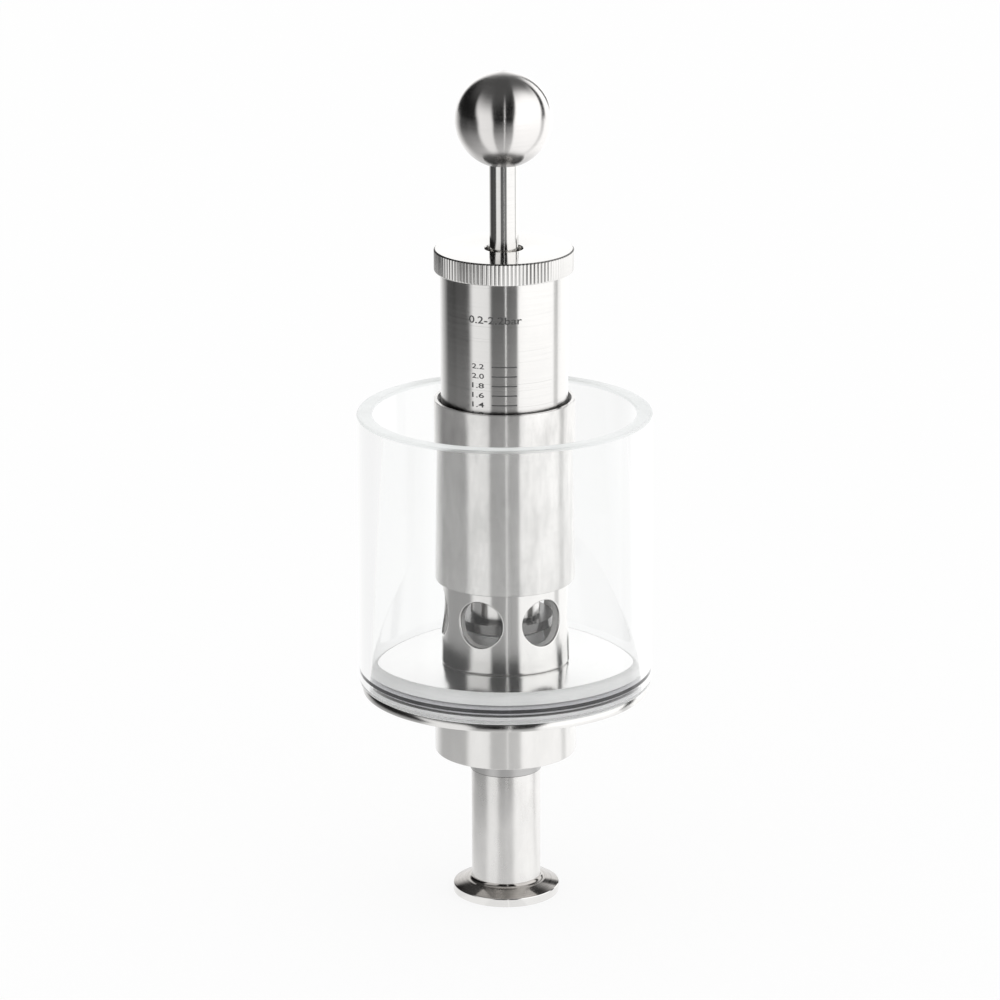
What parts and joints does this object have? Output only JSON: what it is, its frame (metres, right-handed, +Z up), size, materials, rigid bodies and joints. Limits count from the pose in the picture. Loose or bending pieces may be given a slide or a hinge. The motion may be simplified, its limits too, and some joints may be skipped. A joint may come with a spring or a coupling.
{
  "type": "spunding valve",
  "caption": "Adjustable spring-loaded relief valve with a clamp ferrule, a windowed cage in a bubbling glass, a scale sleeve with a knurled cap, and a lift rod with a ball knob.",
  "frame": {"origin": "centre of the clamp ferrule's face, on which the valve stands", "axes": "+Z up the stem to the ball knob, -Y towards the viewer and the scale, +X to the viewer's right"},
  "size_m": [0.093, 0.093, 0.2688],
  "materials": {
    "brushed_steel": "satin, brushed round the axis",
    "turned_steel": "fine turned",
    "knurled_steel": "straight knurl, turned top",
    "ball_steel": "polished with fine brush marks",
    "clear_glass": "clear, fire-polished rim",
    "black_rubber": "smooth",
    "seal_rubber": "smooth",
    "white_plastic": "matt",
    "spring_steel": "drawn wire"
  },
  "bodies": {
    "valve_body": {"clamp_ferrule": "brushed_steel", "inlet_tube": "brushed_steel", "base_body": "brushed_steel", "valve_seat": "turned_steel", "seat_o_ring": "black_rubber", "vent_cage": "brushed_steel", "cage_o_ring": "black_rubber", "stem_guide": "brushed_steel", "guide_bush": "white_plastic", "bonnet": "brushed_steel", "wiper_ring": "black_rubber", "glass_o_ring": "black_rubber", "glass_gasket": "black_rubber", "compression_spring": "spring_steel"},
    "glass": {"sight_glass": "clear_glass"},
    "spring_plate": {"upper_spring_plate": "brushed_steel", "thrust_washer": "white_plastic"},
    "adjuster": {"adjusting_sleeve": "brushed_steel", "knurled_cap": "knurled_steel"},
    "stem": {"ball_knob": "ball_steel", "lift_rod": "brushed_steel", "stem_nut": "brushed_steel", "lower_spring_plate": "brushed_steel", "valve_plug": "turned_steel", "plug_seal": "seal_rubber", "seal_retainer": "brushed_steel", "retainer_screw": "brushed_steel"}
  },
  "joints": [
    {"name": "glass_lift", "type": "slide", "parent": "valve_body", "child": "glass", "axis": [0, 0, 1], "range_m": [0, 0.205]},
    {"name": "spring_plate_slide", "type": "slide", "parent": "valve_body", "child": "spring_plate", "axis": [0, 0, 1], "range_m": [-0.015, 0.015], "deforming": ["compression_spring"]},
    {"name": "adjuster_turn", "type": "hinge", "parent": "spring_plate", "child": "adjuster", "pos_m": [0, 0, 0.2], "axis": [0, 0, 1], "range_deg": [-3600, 3600], "deforming": ["compression_spring"]},
    {"name": "stem_lift", "type": "slide", "parent": "valve_body", "child": "stem", "axis": [0, 0, 1], "range_m": [0, 0.008], "stiffness_N_per_m": 2150, "springref_m": -0.01875, "deforming": ["compression_spring"]}
  ],
  "couplings": [
    {"joint": "spring_plate_slide", "follows": "adjuster_turn", "m_per_rad": 0.00023873}
  ]
}
